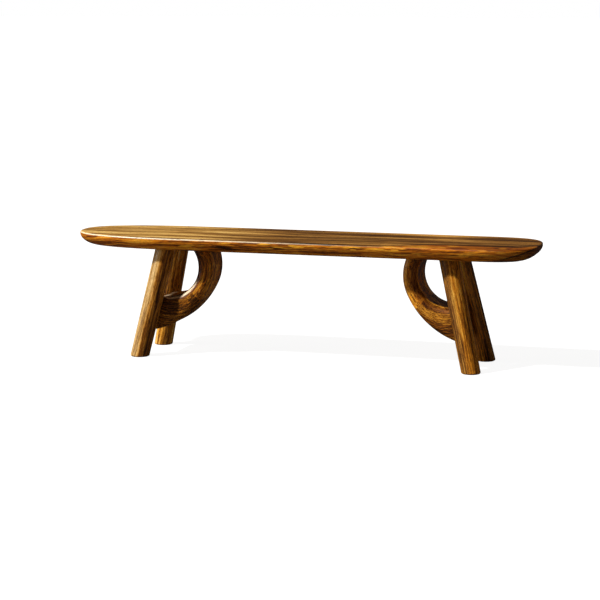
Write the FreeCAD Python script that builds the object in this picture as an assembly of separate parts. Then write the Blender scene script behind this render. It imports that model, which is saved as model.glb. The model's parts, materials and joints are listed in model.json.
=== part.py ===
import FreeCAD, Part

import math
import os

# A long low bench: a two-plank seat on two trestles, each of two splayed round legs
# and one curved arm that springs from the underside of the seat and dies between the legs.
# Frame: millimetres, +Z up, +X along the seat, the front is -Y.
# All pieces are drawn about the middle of the two trestles. The whole bench then moves, so that
# the origin is on the floor under the middle of the seat.

# Seat. Its left end is longer and more pointed than its right end, and it reaches out further.
# Its edge is rolled under from just below the top arris to the underside.
seat_height = 450.0
seat_length = 1742.0
seat_depth = 344.0
seat_thickness = 53.0
seat_shift_left = 24.0
seat_left_end_length = 460.0
seat_right_end_length = 240.0
seat_arris_radius = 7.0
seat_edge_flat = 1.0
seat_roll_width = 77.0
seat_roll_steps = 8
# 2 gives half an ellipse for an end of the seat in plan, more gives a blunter end.
seat_left_fullness_share = 2.44
seat_right_fullness_share = 3.28
end_curve_steps = 24

# Legs, each a slim cone from the foot to the underside of the seat. The middle of a leg's top
# is set in from the seat's end and from its long edge, and the foot splays out from there.
leg_end_inset = 334.5
leg_edge_inset = 94.5
leg_splay_x = 91.0
leg_splay_y = 46.0
leg_top_diameter = 72.5
leg_foot_diameter = 68.5
leg_foot_round = 5.0

# Round tenon turned on the top of each leg, glued into the seat
tenon_diameter = 38.0
tenon_length = 30.0
tenon_chamfer = 2.5

# Arms, drawn in the long upright plane through the middle of the bench. Both outlines of an arm
# start as arcs about one centre, then ease off: the outer one into a long arc, the inner one
# into a straight line. The ease angles are measured down from level. The cheeks of an arm and
# its centre are set in from the middle of the legs' tops.
arm_cheek_inset = 1.0
arm_centre_inset = 10.5
arm_centre_drop = 66.0
arm_edge_radius = 24.4
arm_end_radius = 6.0
arm_outer_radius = 165.0
arm_outer_ease_angle_deg = 24.4
arm_outer_long_radius = 307.3
arm_inner_radius = 110.5
arm_inner_ease_angle_deg = 80.0
arm_end_inset = 8.0
arm_splice_angle_deg = 46.0

# Loose tenon between the top of each arm and the seat
loose_tenon_width = 96.0
loose_tenon_thickness = 16.0
loose_tenon_depth = 28.0

# Dowels across the glue line of the two planks
plank_dowel_diameter = 12.0
plank_dowel_length = 80.0
plank_dowel_pitch = 250.0
plank_dowel_count = 6

# Dowels across the splice of the two blocks of an arm
splice_dowel_diameter = 14.0
splice_dowel_length = 56.0
splice_dowel_spacing = 76.0

# Dowels from each leg into the cheek of the arm
leg_dowel_diameter = 10.0
leg_dowel_length = 58.0
leg_dowel_inset = 18.0
leg_dowel_height_shares = (0.5, 0.82)

# Fits
glue_gap = 0.1
housing_gap = 0.3
bore_end_space = 1.0
dowel_chamfer = 1.0
cut_overrun = 40.0

# Places worked out from the sizes above
underside = seat_height - seat_thickness
seat_widest_z = seat_height - seat_arris_radius - seat_edge_flat
left_tip_x = -seat_shift_left - seat_length / 2
right_tip_x = seat_length / 2 - seat_shift_left
half_depth = seat_depth / 2
leg_top_x = seat_length / 2 - leg_end_inset
leg_top_y = half_depth - leg_edge_inset
leg_foot_x = leg_top_x + leg_splay_x
leg_foot_y = leg_top_y + leg_splay_y
leg_lean = math.atan2(leg_splay_x, underside)
half_arm = leg_top_y - arm_cheek_inset
arm_thickness = 2 * half_arm
arm_centre_x = leg_top_x - arm_centre_inset
arm_centre_z = underside - arm_centre_drop

LEGS = {
    "front_left_leg": (-1, -1),
    "front_right_leg": (1, -1),
    "back_left_leg": (-1, 1),
    "back_right_leg": (1, 1),
}
SIDES = {"left": -1, "right": 1}


def vec(x, y, z):
    return FreeCAD.Vector(x, y, z)


def block(low, high):
    """Box between two corners, each an (x, y, z) place."""
    size = [b - a for a, b in zip(low, high)]
    return Part.makeBox(size[0], size[1], size[2], vec(*low))


def mirrored_x(shape):
    """Mirror image on the other side of the upright plane half way between the trestles."""
    return shape.mirror(vec(0, 0, 0), vec(1, 0, 0))


def rod(radius, start, end, chamfer=0):
    """Cylinder between two points, with both ends chamfered if asked."""
    axis = end - start
    solid = Part.makeCylinder(radius, axis.Length, start, axis)
    if chamfer:
        rims = [e for e in solid.Edges if e.Closed]
        solid = solid.makeChamfer(chamfer, rims)
    return solid


def dowel(diameter, length, middle, along):
    """Dowel with its middle at a point, along a unit vector."""
    reach = along * (length / 2)
    return rod(diameter / 2, middle - reach, middle + reach, dowel_chamfer)


def dowel_bore(diameter, length, middle, along):
    """Hole for a dowel, with a glue gap round it and a little room past its ends."""
    reach = along * (length / 2 + bore_end_space)
    return rod(diameter / 2 + glue_gap, middle - reach, middle + reach)


def cut_all(solid, tools):
    for tool in tools:
        solid = solid.cut(tool)
    return solid


# Seat

def seat_end_curve(start_x, tip_x, half_width, fullness_share, height):
    """One end of the seat in plan: a superellipse from the front edge round its tip to the back."""
    power = 2 / fullness_share
    points = []
    for step in range(end_curve_steps + 1):
        turn = math.pi * step / end_curve_steps - math.pi / 2
        out = abs(math.cos(turn)) ** power
        across = math.copysign(abs(math.sin(turn)) ** power, turn)
        points.append(vec(start_x + (tip_x - start_x) * out, half_width * across, height))
    outward = vec(math.copysign(1, tip_x - start_x), 0, 0)
    curve = Part.BSplineCurve()
    curve.interpolate(Points=points, InitialTangent=outward, FinalTangent=-outward)
    return curve.toShape()


def seat_outline(inset, height):
    """Closed outline of the seat at a height, set in from its widest outline."""
    left_x = left_tip_x + seat_left_end_length
    right_x = right_tip_x - seat_right_end_length
    y = half_depth - inset
    left = seat_end_curve(left_x, left_tip_x + inset, y, seat_left_fullness_share, height)
    right = seat_end_curve(right_x, right_tip_x - inset, y, seat_right_fullness_share, height)
    front = Part.makeLine(vec(left_x, -y, height), vec(right_x, -y, height))
    back = Part.makeLine(vec(right_x, y, height), vec(left_x, y, height))
    return Part.Wire([front, right, back, left])


def seat_blank():
    """The whole seat: rolled under all round, with a small radius on the top arris.

    The roll is a quarter of an ellipse in section, drawn through outlines from the widest line
    down to the flat underside.
    """
    outlines = []
    for step in range(seat_roll_steps + 1):
        turn = math.pi / 2 * step / seat_roll_steps
        inset = seat_roll_width * (1 - math.cos(turn))
        height = seat_widest_z - (seat_widest_z - underside) * math.sin(turn)
        outlines.append(seat_outline(inset, height))
    roll = Part.makeLoft(outlines, True)
    widest_face = max(roll.Faces, key=lambda f: f.CenterOfMass.z)
    rim = widest_face.extrude(vec(0, 0, seat_edge_flat + seat_arris_radius))
    top = [e for e in rim.Edges if e.BoundBox.ZMin > seat_height - glue_gap]
    rim = rim.makeFillet(seat_arris_radius, top)
    return roll.fuse(rim).removeSplitter()


def plank_dowel_places():
    first = -plank_dowel_pitch * (plank_dowel_count - 1) / 2
    height = underside + seat_thickness / 2
    return [vec(first + i * plank_dowel_pitch, 0, height) for i in range(plank_dowel_count)]


def plank_dowels():
    across = vec(0, 1, 0)
    return [dowel(plank_dowel_diameter, plank_dowel_length, p, across) for p in plank_dowel_places()]


def planks(seat):
    """Front and back plank, glued on the long middle line of the seat."""
    across = vec(0, 1, 0)
    tools = [leg_tenon(s, glue_gap, bore_end_space) for s in LEGS.values()]
    tools += [loose_tenon(side, glue_gap, bore_end_space) for side in SIDES.values()]
    tools += [dowel_bore(plank_dowel_diameter, plank_dowel_length, p, across)
              for p in plank_dowel_places()]
    seat = cut_all(seat, tools)
    start = left_tip_x - cut_overrun
    end = right_tip_x + cut_overrun
    reach = half_depth + cut_overrun
    top = seat_height + cut_overrun
    front_zone = block((start, -reach, 0), (end, 0, top))
    back_zone = block((start, 0, 0), (end, reach, top))
    return seat.common(front_zone), seat.common(back_zone)


# Legs

def leg_line(signs):
    """Foot point, top point and upward direction of a leg's axis."""
    foot = vec(signs[0] * leg_foot_x, signs[1] * leg_foot_y, 0)
    top = vec(signs[0] * leg_top_x, signs[1] * leg_top_y, underside)
    return foot, top, (top - foot).normalize()


def leg_cone(signs, growth=0):
    """Tapered round of a leg, longer than the leg at both ends, grown all round if asked."""
    foot, top, up = leg_line(signs)
    length = (top - foot).Length
    slope = (leg_top_diameter - leg_foot_diameter) / 2 / length
    low = leg_foot_diameter / 2 - slope * cut_overrun + growth
    high = leg_top_diameter / 2 + slope * cut_overrun + growth
    return Part.makeCone(low, high, length + 2 * cut_overrun, foot - up * cut_overrun, up)


def leg_tenon(signs, growth=0, extra=0):
    """Round tenon on the leg's axis, started inside the leg; grown, it is its socket."""
    top, up = leg_line(signs)[1:]
    end = top + up * (tenon_length + extra)
    chamfer = 0 if growth else tenon_chamfer
    return rod(tenon_diameter / 2 + growth, top - up * tenon_diameter / 2, end, chamfer)


def leg(signs, seat):
    """Leg cut level at the floor and scribed to the underside of the seat, with its tenon."""
    reach_x = leg_foot_x + leg_foot_diameter
    reach_y = leg_foot_y + leg_foot_diameter
    zone = block((-reach_x, -reach_y, 0), (reach_x, reach_y, seat_widest_z))
    body = leg_cone(signs).common(zone).cut(seat)
    foot_edge = [e for e in body.Edges if e.BoundBox.ZMax < glue_gap]
    body = body.makeFillet(leg_foot_round, foot_edge)
    body = body.fuse(leg_tenon(signs)).removeSplitter()
    return cut_all(body, [leg_dowel_bore(signs, share) for share in leg_dowel_height_shares])


# Arms

def leg_axis_x(z):
    """Where the axis of a right leg is at a height, seen from the front."""
    return leg_foot_x - leg_splay_x * z / underside


def on_arc(radius, angle_deg):
    """Point about the arm's centre, at an angle down from level on the bench's middle side."""
    angle = math.radians(angle_deg)
    return arm_centre() + vec(-math.cos(angle), 0, -math.sin(angle)) * radius


def arm_centre():
    return vec(arm_centre_x, 0, arm_centre_z)


def arc_top(radius):
    """Point of an arm's first arc at the underside of the seat."""
    return vec(arm_centre_x - math.sqrt(radius ** 2 - arm_centre_drop ** 2), 0, underside)


def end_line():
    """A point and the direction of the line that ends a right arm, beside the leg's axis."""
    along = vec(-math.sin(leg_lean), 0, math.cos(leg_lean))
    return vec(leg_foot_x - arm_end_inset / math.cos(leg_lean), 0, 0), along


def crossing(start, along, centre, radius, sign):
    """Where a line meets a circle, before (-1) or after (1) its nearest point to the centre."""
    nearest = start + along * (centre - start).dot(along)
    half_chord = math.sqrt(radius ** 2 - (centre - nearest).Length ** 2)
    return nearest + along * half_chord * sign


def long_arc_centre():
    """Centre of the outer long arc, in line with the first arc's centre so the two are tangent."""
    return on_arc(arm_outer_radius - arm_outer_long_radius, arm_outer_ease_angle_deg)


def outer_end():
    start, along = end_line()
    return crossing(start, along, long_arc_centre(), arm_outer_long_radius, -1)


def inner_end():
    """Where the inner outline's straight run meets the end line."""
    start, along = end_line()
    ease = on_arc(arm_inner_radius, arm_inner_ease_angle_deg)
    outward = (ease - arm_centre()).normalize()
    return start + along * ((ease - start).dot(outward) / along.dot(outward))


def point_between(centre, first, last):
    """Point half way along the arc from one point to another about a centre."""
    middle = (first + last) / 2 - centre
    return centre + middle.normalize() * (first - centre).Length


def arc(centre, first, last):
    return Part.Arc(first, point_between(centre, first, last), last).toShape()


def arm_outline():
    """Closed outline of the right arm in the middle plane of the bench."""
    outer_top = arc_top(arm_outer_radius)
    outer_ease = on_arc(arm_outer_radius, arm_outer_ease_angle_deg)
    inner_top = arc_top(arm_inner_radius)
    inner_ease = on_arc(arm_inner_radius, arm_inner_ease_angle_deg)
    return Part.Wire([
        arc(arm_centre(), outer_top, outer_ease),
        arc(long_arc_centre(), outer_ease, outer_end()),
        Part.makeLine(outer_end(), inner_end()),
        Part.makeLine(inner_end(), inner_ease),
        arc(arm_centre(), inner_ease, inner_top),
        Part.makeLine(inner_top, outer_top),
    ])


def lies_on_line(edge, start, end):
    """Whether both ends of an edge lie between two points of the outline, at any depth."""
    span = end - start
    along = span / span.Length
    for vertex in edge.Vertexes:
        offset = vec(vertex.X, 0, vertex.Z) - start
        aside = offset - along * offset.dot(along)
        if aside.Length > glue_gap:
            return False
    return True


def arm_blank():
    """Right arm as one piece, its long edges rounded, then the edge round its end."""
    outline = arm_outline()
    outline.translate(vec(0, -half_arm, 0))
    solid = Part.Face(outline).extrude(vec(0, arm_thickness, 0))
    ends = [(outer_end(), inner_end()), (arc_top(arm_outer_radius), arc_top(arm_inner_radius))]
    long_edges = [e for e in solid.Edges if not any(lies_on_line(e, a, b) for a, b in ends)]
    solid = solid.makeFillet(arm_edge_radius, long_edges)
    end_middle = (outer_end() + inner_end()) / 2
    end_face = min(solid.Faces, key=lambda f: (f.CenterOfMass - end_middle).Length)
    return solid.makeFillet(arm_end_radius, end_face.Edges)


def splice_line():
    """Middle of the splice, the direction across it, and the direction towards the arm's centre."""
    angle = math.radians(arm_splice_angle_deg)
    inward = vec(math.cos(angle), 0, math.sin(angle))
    across = vec(math.sin(angle), 0, -math.cos(angle))
    inner = on_arc(arm_inner_radius, arm_splice_angle_deg)
    outer = crossing(inner, inward, long_arc_centre(), arm_outer_long_radius, -1)
    return (inner + outer) / 2, across, inward


def splice_zone():
    """Slab of space on the seat's side of the splice plane, larger than the arm."""
    middle, across, inward = splice_line()
    reach = 2 * arm_outer_radius
    corner = middle - inward * reach
    points = [corner, middle + inward * reach,
              middle + inward * reach - across * reach, corner - across * reach]
    points = [vec(p.x, -arm_thickness, p.z) for p in points]
    face = Part.Face(Part.makePolygon(points + points[:1]))
    return face.extrude(vec(0, 2 * arm_thickness, 0))


def splice_dowel_places():
    middle = splice_line()[0]
    half = splice_dowel_spacing / 2
    return [vec(middle.x, y, middle.z) for y in (-half, half)]


def splice_dowels():
    across = splice_line()[1]
    return [dowel(splice_dowel_diameter, splice_dowel_length, p, across)
            for p in splice_dowel_places()]


def loose_tenon(side, growth=0, extra=0):
    """Tenon with round ends, half in the arm and half in the seat; grown, it is its mortise."""
    x = side * (arc_top(arm_outer_radius).x + arc_top(arm_inner_radius).x) / 2
    radius = loose_tenon_thickness / 2 + growth
    straight = (loose_tenon_width - loose_tenon_thickness) / 2
    low = underside - loose_tenon_depth - extra
    high = underside + loose_tenon_depth + extra
    flat = block((x - radius, -straight, low), (x + radius, straight, high))
    ends = [Part.makeCylinder(radius, high - low, vec(x, y, low)) for y in (-straight, straight)]
    return flat.fuse(ends).removeSplitter()


def leg_dowel_place(signs, height_share):
    """Middle of a dowel: on the arm's cheek, beside the leg's axis, at a share of the end's height."""
    low, high = outer_end().z, inner_end().z
    z = low + (high - low) * height_share
    x = leg_axis_x(z) - leg_dowel_inset / math.cos(leg_lean)
    return vec(signs[0] * x, signs[1] * half_arm, z)


def leg_dowel(signs, height_share):
    place = leg_dowel_place(signs, height_share)
    return dowel(leg_dowel_diameter, leg_dowel_length, place, vec(0, 1, 0))


def leg_dowel_bore(signs, height_share):
    place = leg_dowel_place(signs, height_share)
    return dowel_bore(leg_dowel_diameter, leg_dowel_length, place, vec(0, 1, 0))


def arm_blocks():
    """Upper and lower block of the right arm, with the housings that seat it against the legs."""
    across = splice_line()[1]
    tools = [leg_cone((1, sign), housing_gap) for sign in (-1, 1)]
    tools += [leg_dowel_bore((1, sign), share)
              for sign in (-1, 1) for share in leg_dowel_height_shares]
    tools += [dowel_bore(splice_dowel_diameter, splice_dowel_length, p, across)
              for p in splice_dowel_places()]
    tools.append(loose_tenon(1, glue_gap, bore_end_space))
    arm = cut_all(arm_blank(), tools)
    zone = splice_zone()
    return arm.common(zone), arm.cut(zone)


def build():
    """Every piece of the bench by name."""
    pieces = {}
    seat = seat_blank()
    pieces["front_plank"], pieces["back_plank"] = planks(seat)
    pieces["plank_dowels"] = Part.makeCompound(plank_dowels())
    for name, signs in LEGS.items():
        pieces[name] = leg(signs, seat)
    upper, lower = arm_blocks()
    pieces["right_arm_upper"] = upper
    pieces["right_arm_lower"] = lower
    pieces["left_arm_upper"] = mirrored_x(upper)
    pieces["left_arm_lower"] = mirrored_x(lower)
    for name, side in SIDES.items():
        pieces[name + "_arm_tenon"] = loose_tenon(side)
    right_dowels = splice_dowels()
    left_dowels = [mirrored_x(d) for d in right_dowels]
    pieces["arm_splice_dowels"] = Part.makeCompound(right_dowels + left_dowels)
    pieces["arm_leg_dowels"] = Part.makeCompound(
        [leg_dowel(s, share) for s in LEGS.values() for share in leg_dowel_height_shares])
    for shape in pieces.values():
        shape.translate(vec(seat_shift_left, 0, 0))
    return pieces


def export(pieces):
    os.makedirs("parts", exist_ok=True)
    for name, shape in pieces.items():
        bound = shape.BoundBox
        print(f"{name}: valid {shape.isValid()}, {len(shape.Solids)} solids, {shape.Volume:.0f} mm3, "
              f"x {bound.XMin:.1f} to {bound.XMax:.1f}, y {bound.YMin:.1f} to {bound.YMax:.1f}, "
              f"z {bound.ZMin:.1f} to {bound.ZMax:.1f}")
        shape.exportStep(f"parts/{name}.step")


export(build())
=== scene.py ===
import json
import math

import bpy
from mathutils import Matrix, Vector


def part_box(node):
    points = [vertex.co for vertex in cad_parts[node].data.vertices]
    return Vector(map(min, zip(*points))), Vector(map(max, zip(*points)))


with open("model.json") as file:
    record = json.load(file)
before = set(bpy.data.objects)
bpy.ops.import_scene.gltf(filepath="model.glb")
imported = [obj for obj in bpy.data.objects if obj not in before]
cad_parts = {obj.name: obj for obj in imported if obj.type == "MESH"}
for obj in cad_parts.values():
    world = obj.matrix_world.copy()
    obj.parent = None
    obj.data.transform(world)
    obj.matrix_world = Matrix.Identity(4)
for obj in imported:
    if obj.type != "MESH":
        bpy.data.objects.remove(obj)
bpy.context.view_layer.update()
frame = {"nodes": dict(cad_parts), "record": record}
nodes = frame["nodes"]

# Places on the bench, in metres. The seat's height comes from a plank, and the places where the
# axes of the legs meet the floor come from the record's mounts.
SEAT_BOTTOM, SEAT_TOP = (corner.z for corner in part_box("front_plank"))
FEET = {mount["name"]: Vector(mount["pos_m"]) for mount in frame["record"]["mounts"]}
LEGS_MIDDLE_X = (FEET["front_left_foot"].x + FEET["front_right_foot"].x) / 2

# How far a leg comes in, along and across the bench, from the floor to the seat.
LEG_SPLAY = (0.091, 0.046)

# The centre of an arm's curve, out from the middle between the legs and up from the floor, and
# how far from it the inner edge and the middle of the arm lie.
ARM_CENTRE = (0.526, 0.331)
ARM_INNER_RADIUS = 0.1105
ARM_MIDDLE_RADIUS = 0.138
LEFT, RIGHT = -1, 1

# The clear coat on the wood, and the fine relief of its streaks and pores.
VARNISH_COAT = 0.45
VARNISH_COAT_ROUGHNESS = 0.28
VARNISH_COAT_IOR = 1.4
VARNISH_ROUGHNESS = (0.42, 0.54)
VARNISH_RELIEF = 0.0005
BARE_ROUGHNESS = (0.6, 0.7)
BARE_RELIEF = 0.0003
RELIEF_STRENGTH = 0.2
WOOD_SPECULAR = 0.15
STREAK_LIMITS = (0.3, 0.7)
PORE_SCALE = (45.0, 1500.0, 1500.0)
PORE_LIMITS = (0.32, 0.42)


def linear(red, green, blue):
    """A colour as a screen shows it, 0 to 255, turned into the light that it stands for."""
    shares = [level / 255 for level in (red, green, blue)]
    light = [s / 12.92 if s <= 0.04045 else ((s + 0.055) / 1.055) ** 2.4 for s in shares]
    return light + [1.0]


def wood(*tones):
    """The colours of a wood from its darkest streaks to its palest, each after its place from 0
    to 1."""
    return [(place, linear(*colour)) for place, *colour in tones]


# Steps of a shader

class Shader:
    """The nodes of a material or of the world. Each method adds a step and gives its output."""

    def __init__(self, tree):
        self.tree = tree
        self.tree.nodes.clear()

    def step(self, kind, values=None, **settings):
        """A node, with a plain value or another step's output on each socket that is named."""
        node = self.tree.nodes.new(kind)
        for key, value in settings.items():
            setattr(node, key, value)
        for key, value in (values or {}).items():
            if isinstance(value, bpy.types.NodeSocket):
                self.tree.links.new(value, node.inputs[key])
            else:
                node.inputs[key].default_value = value
        return node

    def reckon(self, operation, *terms):
        """One piece of arithmetic, under the name that Blender gives it."""
        node = self.step("ShaderNodeMath", dict(enumerate(terms)), operation=operation)
        return node.outputs[0]

    def plus(self, first, second):
        """The sum of two numbers."""
        return self.reckon("ADD", first, second)

    def minus(self, first, second):
        """The first number less the second."""
        return self.reckon("SUBTRACT", first, second)

    def times(self, first, second):
        """The product of two numbers."""
        return self.reckon("MULTIPLY", first, second)

    def added(self, base, extra, share):
        """The base plus a share of the extra."""
        return self.reckon("MULTIPLY_ADD", extra, share, base)

    def spread(self, value, limits, results=(0.0, 1.0), kind="SMOOTHSTEP"):
        """A value between two limits carried to between two results, and held outside them."""
        node = self.step("ShaderNodeMapRange", {
            "Value": value, "From Min": limits[0], "From Max": limits[1],
            "To Min": results[0], "To Max": results[1]}, interpolation_type=kind)
        return node.outputs[0]

    def between(self, value, start, end):
        """1 between two places and 0 outside them: a fade in at the start times a fade out at
        the end. Each is given as the place of its 0 and the place of its 1."""
        return self.times(self.spread(value, start), self.spread(value, end))

    def tones(self, value, stops):
        """A value from 0 to 1 turned into a wood's colour."""
        node = self.step("ShaderNodeValToRGB", {"Fac": value})
        elements = node.color_ramp.elements
        while len(elements) < len(stops):
            elements.new(0.5)
        for element, (place, colour) in zip(elements, stops):
            element.position = place
            element.color = colour
        return node.outputs[0]

    def blend(self, share, first, second, mode="MIX"):
        """The first colour where the share is 0, and the second where it is 1."""
        node = self.step("ShaderNodeMix", {0: share, 6: first, 7: second},
                         data_type="RGBA", blend_type=mode)
        return node.outputs[2]

    def darkened(self, colour, stain, share=1.0):
        """The colour where the share is 0, and its product with a stain where it is 1."""
        return self.blend(share, colour, stain, mode="MULTIPLY")

    def axes(self, point):
        """The three coordinates of a point."""
        node = self.step("ShaderNodeSeparateXYZ", {"Vector": point})
        return node.outputs[0], node.outputs[1], node.outputs[2]

    def joined(self, x, y, z):
        """A point from its three coordinates."""
        return self.step("ShaderNodeCombineXYZ", {0: x, 1: y, 2: z}).outputs[0]

    def mapped(self, point, change, amount):
        """The point after a Location is added, a Rotation turns it or a Scale stretches it."""
        return self.step("ShaderNodeMapping", {"Vector": point, change: amount}).outputs[0]

    def noise(self, point, scale, place=(0, 0, 0), detail=1.0, roughness=0.5, distortion=0.0):
        """Cloudy noise, read from a place of its own, that changes about scale times a metre on
        each axis."""
        there = self.mapped(self.mapped(point, "Location", place), "Scale", scale)
        node = self.step("ShaderNodeTexNoise", {
            "Vector": there, "Scale": 1.0, "Detail": detail, "Roughness": roughness,
            "Distortion": distortion})
        return node.outputs[0]

    def warped(self, point, scale, reach):
        """The point pushed about by a slow noise, so that straight figure wanders: the noise
        less one half, times the reach, is added to the point."""
        push = self.step("ShaderNodeTexNoise", {"Vector": point, "Scale": scale, "Detail": 2.0})
        centred = self.step("ShaderNodeVectorMath", {
            0: push.outputs["Color"], 1: (0.5, 0.5, 0.5)}, operation="SUBTRACT").outputs[0]
        node = self.step("ShaderNodeVectorMath", {
            0: centred, 1: (reach, reach, reach), 2: point}, operation="MULTIPLY_ADD")
        return node.outputs[0]


class Finish(Shader):
    """A material of its own, made by the steps of a shader."""

    def __init__(self, name):
        self.material = bpy.data.materials.new(name)
        self.material.use_nodes = True
        super().__init__(self.material.node_tree)

    def place(self):
        """The place on the bench, in metres."""
        return self.step("ShaderNodeTexCoord").outputs["Object"]

    def close(self, colour, roughness, height, relief, coat):
        """The surface itself: the wood's colour and sheen, its height as relief, and a coat."""
        bump = self.step("ShaderNodeBump", {
            "Height": height, "Distance": relief, "Strength": RELIEF_STRENGTH}).outputs[0]
        surface = self.step("ShaderNodeBsdfPrincipled", {
            "Base Color": colour, "Roughness": roughness, "Normal": bump, "Coat Weight": coat,
            "Coat Roughness": VARNISH_COAT_ROUGHNESS, "Coat IOR": VARNISH_COAT_IOR,
            "Specular IOR Level": WOOD_SPECULAR}).outputs[0]
        self.step("ShaderNodeOutputMaterial", {"Surface": surface}, is_active_output=True)
        return self.material


# Wood in general

def long_grain(f, point, seed, bands, streaks, wander=(1.6, 0.012), streak_share=0.6,
               growth=0.10, lines=52.0, contrast=0.17):
    """Figure that runs along the first axis of a point. Gives its tone, streaks and pores.

    Broad bands and narrow streaks are noise that changes far less along the grain than across
    it. Growth lines follow the level lines of both, as the sine of their sum. The tone is the
    sum of all three, and the contrast on each side of one half is carried to 0 to 1. Pores are
    0 in short fine dashes and 1 between them.
    """
    soft = f.warped(point, *wander)
    band = f.noise(soft, bands, (seed, seed * 0.7, 0), detail=3.0, roughness=0.55,
                   distortion=0.4)
    streak = f.noise(soft, streaks, (0, seed, seed), detail=4.0, roughness=0.62)
    mixed = f.added(band, f.minus(streak, 0.5), streak_share)
    rings = f.reckon("SINE", f.times(mixed, lines))
    tone = f.added(mixed, rings, growth)
    tone = f.spread(tone, (0.5 - contrast, 0.5 + contrast), kind="LINEAR")
    pores = f.noise(point, PORE_SCALE, (seed, 0, seed))
    return tone, streak, f.spread(pores, PORE_LIMITS)


def varnished(f, colour, streaks, pores, pore_colour):
    """Satin clear finish over the figure: dark pores, a sheen that varies with the streaks, and
    a relief that is half streaks and half pores."""
    colour = f.blend(pores, pore_colour, colour)
    height = f.added(f.times(pores, 0.5), streaks, 0.5)
    roughness = f.spread(streaks, STREAK_LIMITS, VARNISH_ROUGHNESS)
    return f.close(colour, roughness, height, VARNISH_RELIEF, VARNISH_COAT)


# The seat

SEAT_FIGURE = {
    "seed": 3.0,
    "bands": (1.1, 18.0, 18.0),
    "streaks": (2.6, 64.0, 64.0),
    "growth": 0.04,
    "streak_share": 1.15,
    "contrast": 0.18,
}
# Tan wood for the left of the top, paler partly as a painted sheen.
TAN_TOP_AND_SHEEN = wood((0.0, 110, 66, 22), (0.35, 168, 117, 49), (0.6, 205, 154, 74),
               (1.0, 240, 196, 114))
BROWN_TOP = wood((0.0, 54, 27, 6), (0.35, 108, 67, 20), (0.6, 154, 103, 40),
                 (1.0, 210, 154, 74))
EDGE_WOOD = wood((0.0, 70, 32, 3), (0.28, 144, 74, 8), (0.50, 196, 108, 12),
                 (0.74, 231, 141, 20), (1.0, 250, 182, 56))
GLUE_LINE = linear(58, 32, 12)
SEAT_PORES = linear(66, 36, 10)
# The dark painted shade line round the seat's right end.
PAINTED_SHADE_BORDER = linear(46, 25, 8)
# A painted highlight along the seat's front arris.
PAINTED_ARRIS_HIGHLIGHT = linear(245, 233, 200)
AMBER_FLECK = linear(246, 168, 44)
BRIGHT_FLECK = linear(255, 180, 46)

# The figure of the rolled edge: how many times a metre its noises change, how it wanders, how
# far it leans back, and how much the knots, growth lines and fine streaks add to it.
EDGE_BANDS = (8.0, 8.0, 140.0)
EDGE_STREAKS = (11.0, 11.0, 250.0)
EDGE_FLECK_SCALE = (16.0, 16.0, 115.0)
EDGE_WANDER = (9.0, 0.016)
EDGE_LEAN = 0.2
EDGE_LINES = 50.0
KNOT_SHARE = -0.20
EDGE_GROWTH = 0.05
EDGE_STREAK_SHARE = 0.75
FLECK_STREAK_SHARE = 0.9

# Marks in the front edge: place along the bench, height, half length, half height.
EDGE_KNOTS = (
    (-0.255, 0.430, 0.080, 0.020),
    (-0.160, 0.432, 0.055, 0.018),
    (-0.065, 0.434, 0.045, 0.014),
    (0.236, 0.437, 0.036, 0.006),
    (0.450, 0.443, 0.034, 0.005),
    (0.618, 0.441, 0.065, 0.006),
)
EDGE_FLECKS = (
    (-0.404, 0.4230, 0.030, 0.0044),
    (-0.250, 0.4400, 0.024, 0.0022),
    (-0.102, 0.4416, 0.024, 0.0040),
    (-0.082, 0.4255, 0.020, 0.0030),
    (-0.050, 0.4320, 0.022, 0.0028),
    (-0.012, 0.4290, 0.020, 0.0028),
    (0.006, 0.4400, 0.016, 0.0032),
    (0.030, 0.4350, 0.024, 0.0040),
    (0.225, 0.4420, 0.034, 0.0024),
    (0.313, 0.4395, 0.040, 0.0022),
    (0.372, 0.4340, 0.032, 0.0022),
)

# The line above the painted shade along the seat's bottom and round its right end: where it
# starts to climb, its height over the seat's bottom, and how much it climbs for the distance
# past its start and for the square of that distance.
END_SHADE_START_X = 0.66
END_SHADE_LINE_UP = 0.0045
END_SHADE_CLIMB = (0.0525, 0.825)


def mark_field(f, x, z, marks):
    """The sum of bell-shaped humps, one for each mark in the front edge: 1 in its heart, 0 far
    off. A hump is e to the power of minus the square of the distance from the heart, reckoned
    in half lengths and half heights."""
    total = None
    for place, height, half_length, half_height in marks:
        along = f.reckon("DIVIDE", f.minus(x, place), half_length)
        up = f.reckon("DIVIDE", f.minus(z, height), half_height)
        square = f.added(f.times(up, up), along, along)
        hump = f.reckon("EXPONENT", f.times(square, -1.0))
        total = hump if total is None else f.plus(total, hump)
    return total


def top_wood(f, x, y, tone):
    """The top of the seat: tan on the left, partly a painted sheen, and brown on the right,
    darker in its middle, at its right end and in a stripe behind the front arris, with a dark
    line where the planks meet."""
    # The tan on the left is partly wood tone and partly a painted sheen.
    top = f.blend(f.spread(x, (-0.42, -0.06)), f.tones(tone, TAN_TOP_AND_SHEEN), f.tones(tone, BROWN_TOP))
    middle = f.between(x, (-0.20, -0.02), (0.42, 0.22))
    top = f.darkened(top, linear(222, 219, 214), middle)
    right_end = f.spread(x, (0.50, 0.74))
    top = f.darkened(top, linear(198, 190, 178), right_end)
    stripe = f.times(f.between(y, (-0.163, -0.158), (-0.138, -0.150)),
                     f.between(x, (-0.36, -0.22), (0.10, -0.02)))
    top = f.darkened(top, linear(170, 156, 146), stripe)
    off_joint = f.spread(f.reckon("ABSOLUTE", y), (0.0004, 0.0012))
    return f.blend(off_joint, GLUE_LINE, top)


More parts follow.
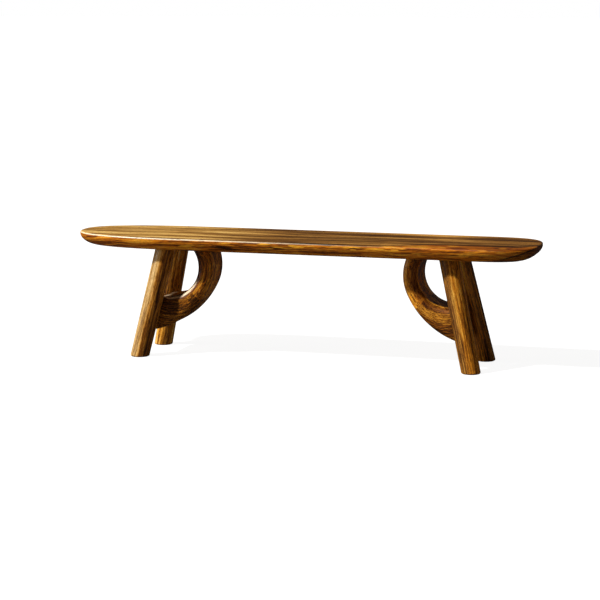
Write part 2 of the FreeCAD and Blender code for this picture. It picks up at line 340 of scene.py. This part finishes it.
def edge_wood(f, x, y, z):
    """The rolled edge of the seat: flaming figure with knots and bright flecks.

    The figure is noise stretched along the edge, less the humps of the knots, so its growth
    lines, which are the sine of it, close round each knot. Fine streaks break up the figure and
    the flecks. The right half has more flecks, where a noise of their own is high, and both
    ends are darker.
    """
    swirl = f.warped(f.joined(x, y, f.added(z, y, EDGE_LEAN)), *EDGE_WANDER)
    body = f.noise(swirl, EDGE_BANDS, (1.3, 0.0, 0.4), detail=3.0, roughness=0.55,
                   distortion=0.4)
    body = f.added(body, mark_field(f, x, z, EDGE_KNOTS), KNOT_SHARE)
    rings = f.reckon("SINE", f.times(body, EDGE_LINES))
    streaks = f.minus(f.noise(swirl, EDGE_STREAKS, roughness=0.6), 0.5)
    tone = f.added(f.added(body, rings, EDGE_GROWTH), streaks, EDGE_STREAK_SHARE)
    edge = f.tones(f.spread(tone, (0.22, 0.70), kind="LINEAR"), EDGE_WOOD)

    flecks = f.noise(swirl, EDGE_FLECK_SCALE, (4.2, 0.0, 1.1))
    right_flecks = f.times(f.spread(flecks, (0.62, 0.68)), f.spread(x, (0.05, 0.12)))
    edge = f.blend(right_flecks, edge, AMBER_FLECK)
    placed = f.added(mark_field(f, x, z, EDGE_FLECKS), streaks, FLECK_STREAK_SHARE)
    edge = f.blend(f.spread(placed, (0.35, 0.52)), edge, BRIGHT_FLECK)
    ends = f.plus(f.spread(x, (-0.72, -0.84)), f.spread(x, (0.60, 0.76)))
    return f.darkened(edge, linear(216, 212, 206), ends)


def with_amber_strip(f, x, y, top, edge):
    """The top, with the edge's amber wood, darkened by painted shade, along its front at the
    right end and a dark line behind that. The strip's back border lies in front of the seat at
    first, and goes back in two steps, the second one near the tip."""
    first_step = f.spread(x, (0.28, 0.56), (0.0, 0.088))
    second_step = f.spread(x, (0.80, 0.90), (-0.178, -0.095))
    behind = f.minus(y, f.plus(first_step, second_step))
    dark_line = f.times(f.between(behind, (0.0, 0.005), (0.036, 0.016)),
                        f.spread(x, (0.30, 0.52)))
    top = f.darkened(top, linear(136, 124, 114), dark_line)
    # The strip is the edge's colour darkened with painted shade, so that it looks as dark on
    # the top as on the edge.
    amber = f.darkened(edge, linear(200, 186, 172))
    return f.blend(f.spread(behind, (0.001, -0.004)), top, amber)


def with_painted_end_shade(f, x, up, edge):
    """The edge, with painted shade below a line that runs low along the bench and climbs
    round the right end, where a darker painted shade line runs along the border between the
    two."""
    past = f.reckon("MAXIMUM", f.minus(x, END_SHADE_START_X), 0.0)
    climb = f.times(past, f.added(END_SHADE_CLIMB[0], past, END_SHADE_CLIMB[1]))
    above_line = f.minus(up, f.plus(climb, END_SHADE_LINE_UP))
    # Painted shade below the line, and a darker painted shade line along it near the right end.
    edge = f.darkened(edge, linear(186, 180, 176), f.spread(above_line, (0.0015, -0.0015)))
    border = f.spread(f.reckon("ABSOLUTE", above_line), (0.0032, 0.0014))
    border = f.times(border, f.spread(x, (0.72, 0.80), (0.0, 0.9)))
    return f.blend(border, edge, PAINTED_SHADE_BORDER)


def seat_finish():
    """The top and the underside of the seat in long plain grain, its rolled edge in flaming
    figure, and a painted highlight along its arris, most of all on the left."""
    f = Finish("seat_figured_wood")
    point = f.place()
    x, y, z = f.axes(point)
    down = f.minus(SEAT_TOP, z)
    up = f.minus(z, SEAT_BOTTOM)
    tone, streaks, pores = long_grain(f, point, **SEAT_FIGURE)
    pale_back_right = f.times(f.spread(y, (0.05, 0.12)), f.spread(x, (0.20, 0.45), (0.0, 0.3)))
    tone = f.plus(tone, pale_back_right)

    edge = edge_wood(f, x, y, z)
    top = with_amber_strip(f, x, y, top_wood(f, x, y, tone), edge)
    edge = with_painted_end_shade(f, x, up, edge)
    colour = f.blend(f.spread(down, (0.006, 0.002)), edge, top)
    # A painted highlight along the arris, strongest on the left and fading to the right.
    arris_highlight = f.times(f.between(down, (0.0006, 0.0025), (0.0060, 0.0045)),
                     f.spread(x, (0.35, -0.45), (0.0, 0.8)))
    arris_highlight = f.times(arris_highlight, f.spread(x, (-0.868, -0.845), (0.3, 1.0)))
    colour = f.blend(arris_highlight, colour, PAINTED_ARRIS_HIGHLIGHT)
    underneath = f.spread(up, (0.0050, 0.0015))
    colour = f.blend(underneath, colour, f.tones(tone, BROWN_TOP))
    return varnished(f, colour, streaks, pores, SEAT_PORES)


# The legs

LEG_FIGURE = {
    "bands": (1.6, 34.0, 34.0),
    "streaks": (6.0, 150.0, 150.0),
    "wander": (5.0, 0.006),
    "streak_share": 1.15,
    "contrast": 0.20,
}
# Brown wood, dark as painted shade on the front right leg's lit side.
BROWN_LEG_PAINTED_SHADE = wood((0.0, 46, 24, 5), (0.3, 88, 50, 11), (0.55, 126, 78, 20),
                 (0.8, 158, 103, 30), (1.0, 190, 138, 56))
AMBER_LEG = wood((0.0, 74, 38, 6), (0.3, 130, 74, 14), (0.55, 182, 114, 28),
                 (0.8, 216, 148, 52), (1.0, 238, 186, 104))
BRIGHT_LEG = wood((0.0, 90, 48, 7), (0.3, 150, 85, 14), (0.55, 201, 123, 24),
                  (0.8, 233, 151, 38), (1.0, 246, 184, 74))
# Golden wood, brighter as painted light on the back left leg, which stands in shade.
GOLDEN_LEG_PAINTED_LIGHT = wood((0.0, 104, 58, 10), (0.3, 178, 110, 24), (0.55, 232, 156, 42),
                  (0.8, 250, 190, 78), (1.0, 255, 218, 140))
# Pale wood; on the front left leg's outer side it is a painted highlight.
PALE_LEG_AND_HIGHLIGHT = wood((0.0, 124, 84, 34), (0.5, 184, 142, 74), (1.0, 224, 190, 130))
LEG_PORES = linear(70, 38, 10)

# For each leg: the wood on its inner side, the wood on its outer side, where one turns into the
# other, out from the leg's axis, and a seed for its figure.
LEG_WOODS_AND_PAINTED_LIGHT = {
    # Its pale outer side is a painted highlight.
    "front_left_leg": (AMBER_LEG, PALE_LEG_AND_HIGHLIGHT, (0.010, 0.026), 1.7),
    # Its brown inner side is painted shade on its lit side.
    "front_right_leg": (BROWN_LEG_PAINTED_SHADE, BRIGHT_LEG, (0.006, 0.024), 4.0),
    # Its golden inner wood is painted light on a leg that stands in shade.
    "back_left_leg": (GOLDEN_LEG_PAINTED_LIGHT, PALE_LEG_AND_HIGHLIGHT, (0.006, 0.024), 6.3),
    "back_right_leg": (BRIGHT_LEG, AMBER_LEG, (0.0, 0.01), 8.6),
}


def leg_finish(name):
    """Straight light and dark streaks along a leg's own leaning axis, in two woods: the one on
    the side that it leans away from, and the one on the side that it leans to. On three legs
    one side's colour is painted: a highlight on the front left, light on the back left, shade
    on the front right."""
    f = Finish(name + "_streaked_wood")
    inner, outer, turn_over, seed = LEG_WOODS_AND_PAINTED_LIGHT[name]
    foot = FEET[name.replace("leg", "foot")]
    axis = Vector((-math.copysign(LEG_SPLAY[0], foot.x), -math.copysign(LEG_SPLAY[1], foot.y),
                   SEAT_BOTTOM))
    turn = axis.to_track_quat("X", "Z").inverted().to_euler("XYZ")
    grain = f.mapped(f.mapped(f.place(), "Location", -foot), "Rotation", turn)
    tone, streaks, pores = long_grain(f, grain, seed, **LEG_FIGURE)
    outward = f.axes(grain)[2]
    colour = f.blend(f.spread(outward, turn_over), f.tones(tone, inner), f.tones(tone, outer))
    return varnished(f, colour, streaks, pores, LEG_PORES)


# The arms

ARM_FIGURE = {
    "bands": (1.7, 24.0, 24.0),
    "streaks": (6.0, 150.0, 150.0),
    "wander": (4.5, 0.022),
    "streak_share": 0.8,
    "growth": 0.17,
    "lines": 72.0,
    "contrast": 0.21,
}
# Growth layers lie along an arm's breadth, so its figure changes this much as fast across it.
ARM_BREADTH_SHARE = 0.3
# Dark wood, partly painted shade, for the left arm's lower block.
DARK_ARM_AND_SHADE = wood((0.0, 42, 20, 2), (0.3, 84, 44, 6), (0.55, 128, 71, 9), (0.78, 186, 110, 18),
                (1.0, 232, 160, 50))
BROWN_ARM = wood((0.0, 42, 20, 2), (0.3, 77, 39, 5), (0.55, 116, 62, 9), (0.78, 172, 97, 16),
                 (1.0, 230, 158, 48))
AMBER_ARM = wood((0.0, 56, 27, 3), (0.3, 117, 61, 7), (0.55, 178, 98, 12),
                 (0.78, 234, 139, 23), (1.0, 248, 180, 60))
ARM_PORES = linear(60, 34, 10)
# A painted highlight: a pale line beside the left arm's inner edge, and its depth in from that
# edge.
PAINTED_RIM_HIGHLIGHT = linear(246, 222, 186)
RIM_HIGHLIGHT_DEPTH = 0.0080

# For each block of an arm: its end of the bench, its wood and a seed for its figure.
ARM_WOODS = {
    "left_arm_upper": (LEFT, AMBER_ARM, 8.6),
    # This block's dark wood is partly painted shade.
    "left_arm_lower": (LEFT, DARK_ARM_AND_SHADE, 2.1),
    "right_arm_upper": (RIGHT, AMBER_ARM, 7.7),
    "right_arm_lower": (RIGHT, BROWN_ARM, 6.4),
}


def with_painted_rim_highlight(f, colour, depth, along, streaks):
    """An arm's colour with a painted highlight, a pale line beside its inner edge, from a
    little below the centre of its curve down, and fainter where the streaks are dark."""
    off_line = f.reckon("ABSOLUTE", f.minus(depth, RIM_HIGHLIGHT_DEPTH))
    line = f.times(f.spread(off_line, (0.0050, 0.0034)), f.spread(along, (-0.045, -0.070)))
    line = f.times(line, f.spread(streaks, (0.38, 0.55), (0.3, 0.9)))
    return f.blend(line, colour, PAINTED_RIM_HIGHLIGHT)


def arm_finish(name):
    """Figure nested along an arm's curve: the angle about the curve's centre, as a length, runs
    along the grain, and the distance from the centre runs across it. Painted shade darkens the
    curved inner edge, and on the left arm a painted highlight lies beside it."""
    f = Finish(name + "_figured_wood")
    side, arm_wood, seed = ARM_WOODS[name]
    x, y, z = f.axes(f.place())
    out = f.times(f.minus(x, LEGS_MIDDLE_X + side * ARM_CENTRE[0]), -side)
    up = f.minus(z, ARM_CENTRE[1])
    away = f.reckon("SQRT", f.added(f.times(up, up), out, out))
    along = f.times(f.reckon("ARCTAN2", up, out), ARM_MIDDLE_RADIUS)
    grain = f.joined(along, away, f.times(y, ARM_BREADTH_SHARE))
    tone, streaks, pores = long_grain(f, grain, seed, **ARM_FIGURE)
    depth = f.minus(away, ARM_INNER_RADIUS)
    # Painted shade on the curved inner edge of each arm.
    inner_edge_shade = f.between(depth, (0.0, 0.004), (0.030, 0.014))
    colour = f.darkened(f.tones(tone, arm_wood), linear(170, 150, 126), inner_edge_shade)
    # On the left arm, a painted highlight beside the inner edge.
    if side == LEFT:
        colour = with_painted_rim_highlight(f, colour, depth, along, streaks)
    return varnished(f, colour, streaks, pores, ARM_PORES)


# The dowels and tenons

DOWEL_FIGURE = {"seed": 11.0, "bands": (6.0, 60.0, 60.0), "streaks": (20.0, 300.0, 300.0)}
DOWEL_WOOD = wood((0.0, 176, 138, 96), (1.0, 218, 186, 144))


def dowel_finish():
    """Bare pale wood, which is seen only inside the joints."""
    f = Finish("bare_pale_wood")
    tone, streaks, _ = long_grain(f, f.place(), **DOWEL_FIGURE)
    roughness = f.spread(streaks, STREAK_LIMITS, BARE_ROUGHNESS)
    return f.close(f.tones(tone, DOWEL_WOOD), roughness, streaks, BARE_RELIEF, coat=0.0)


def dress():
    """A finish on every piece of the bench. The two planks share one, so that the figure of the
    edge runs on past their joint, and all dowels and tenons share one."""
    seat = seat_finish()
    dowels = dowel_finish()
    finishes = {"front_plank": seat, "back_plank": seat}
    finishes.update({name: arm_finish(name) for name in ARM_WOODS})
    finishes.update({name: leg_finish(name) for name in LEG_WOODS_AND_PAINTED_LIGHT})
    for name, node in nodes.items():
        node.material_slots[0].material = finishes.get(name, dowels)


# The studio

FLOOR_SIZE = 60
FLOOR_SHADE = (0.2, 0.2, 0.2, 1)
FLOOR_GLOW = 0.92
FLOOR_BOUNCE = (0.18, 0.157, 0.125, 1)
FLOOR_IN_VARNISH = (0.02, 0.02, 0.02, 1)
WHITE = (1, 1, 1, 1)
SKY_LIGHT = (0.047, 0.041, 0.033, 1)
SKY_IN_VARNISH = (0.03, 0.03, 0.03, 1)
KEY_DISTANCE = 4
KEY_AIM = (0, 0, 0)
SOFTBOX_AIM = (0, 0, 0.3)


def studio_floor():
    """A pale floor. The camera sees it glow nearly white, with the bench's faint soft shadow on
    it. For all else it is a warm dim floor, and dimmer still as a reflection in the varnish."""
    bpy.ops.mesh.primitive_plane_add(size=FLOOR_SIZE, location=(0, 0, 0))
    floor = bpy.context.object
    floor.name = "studio_floor"
    f = Finish("pale_studio_floor")
    rays = f.step("ShaderNodeLightPath").outputs
    unseen = f.blend(rays["Is Glossy Ray"], FLOOR_BOUNCE, FLOOR_IN_VARNISH)
    shade = f.blend(rays["Is Camera Ray"], unseen, FLOOR_SHADE)
    paint = f.step("ShaderNodeBsdfDiffuse", {"Color": shade}).outputs[0]
    glow = f.step("ShaderNodeEmission", {
        "Color": WHITE, "Strength": f.times(rays["Is Camera Ray"], FLOOR_GLOW)}).outputs[0]
    both = f.step("ShaderNodeAddShader", {0: paint, 1: glow}).outputs[0]
    f.step("ShaderNodeOutputMaterial", {"Surface": both})
    floor.data.materials.append(f.material)


def surroundings():
    """White to the camera, and a plain soft light for all else."""
    world = bpy.data.worlds.new("studio_light")
    bpy.context.scene.world = world
    world.use_nodes = True
    f = Shader(world.node_tree)
    rays = f.step("ShaderNodeLightPath").outputs
    unseen = f.blend(rays["Is Glossy Ray"], SKY_LIGHT, SKY_IN_VARNISH)
    shade = f.blend(rays["Is Camera Ray"], unseen, WHITE)
    sky = f.step("ShaderNodeBackground", {"Color": shade}).outputs[0]
    f.step("ShaderNodeOutputWorld", {"Surface": sky})


def placed_lamp(name, kind, strength, direction, distance, aim):
    """A lamp that looks at a point, from a distance in a direction. Gives its data and its
    object."""
    lamp = bpy.data.lights.new(name, kind)
    lamp.energy = strength
    stand = bpy.data.objects.new(name, lamp)
    bpy.context.scene.collection.objects.link(stand)
    away = Vector(direction).normalized()
    stand.location = Vector(aim) + away * distance
    stand.rotation_euler = away.to_track_quat("Z", "Y").to_euler()
    return lamp, stand


def key_light(direction, strength, softness_deg):
    """Parallel light from a direction, with slightly soft shadows."""
    lamp, _ = placed_lamp("key", "SUN", strength, direction, KEY_DISTANCE, KEY_AIM)
    lamp.angle = math.radians(softness_deg)


def softbox(name, direction, distance, size, strength, tint, shines):
    """A rectangular lamp, which may show in the varnish."""
    lamp, stand = placed_lamp(name, "AREA", strength, direction, distance, SOFTBOX_AIM)
    lamp.color = tint
    lamp.shape = "RECTANGLE"
    lamp.size, lamp.size_y = size
    stand.visible_glossy = shines


# The camera's angles, in radians: how far it stands round to the right of the bench's front,
# how far up, and its roll. Distances are in metres.
CAMERA_TURN = 0.30171
CAMERA_RISE = 0.16886
CAMERA_ROLL = -0.00768
CAMERA_DISTANCE = 7.9414
CAMERA_AIM = (-0.01863, 0, 0.21428)
CAMERA_REACH = 100
FOCAL_LENGTH_PIXELS = 2166.59
PHOTO_WIDTH_PIXELS = 600
SENSOR_WIDTH_MM = 36


def camera():
    """The photo's view: from the right of the front, a little above the seat, far away."""
    back = Vector((math.sin(CAMERA_TURN) * math.cos(CAMERA_RISE),
                   -math.cos(CAMERA_TURN) * math.cos(CAMERA_RISE), math.sin(CAMERA_RISE)))
    level = Vector((math.cos(CAMERA_TURN), math.sin(CAMERA_TURN), 0))
    upright = back.cross(level)
    right = level * math.cos(CAMERA_ROLL) + upright * math.sin(CAMERA_ROLL)
    up = upright * math.cos(CAMERA_ROLL) - level * math.sin(CAMERA_ROLL)
    view = bpy.data.cameras.new("camera")
    view.sensor_width = SENSOR_WIDTH_MM
    view.lens = FOCAL_LENGTH_PIXELS / PHOTO_WIDTH_PIXELS * SENSOR_WIDTH_MM
    view.clip_end = CAMERA_REACH
    stand = bpy.data.objects.new("camera", view)
    bpy.context.scene.collection.objects.link(stand)
    axes = Matrix((right, up, back)).transposed().to_4x4()
    stand.matrix_world = Matrix.Translation(Vector(CAMERA_AIM) + back * CAMERA_DISTANCE) @ axes
    bpy.context.scene.camera = stand


dress()
studio_floor()
surroundings()
key_light(direction=(-0.55, -0.425, 0.72), strength=5.0, softness_deg=3.5)
softbox("side_softbox", direction=(-0.93, -0.30, 0.22), distance=6.0, size=(3.2, 2.8),
        strength=110, tint=(1.0, 0.93, 0.80), shines=True)
softbox("back_softbox", direction=(0.35, 0.90, 0.30), distance=4.0, size=(2.4, 1.8),
        strength=20, tint=(1.0, 0.92, 0.80), shines=False)
camera()
bpy.context.scene.view_settings.view_transform = "Standard"
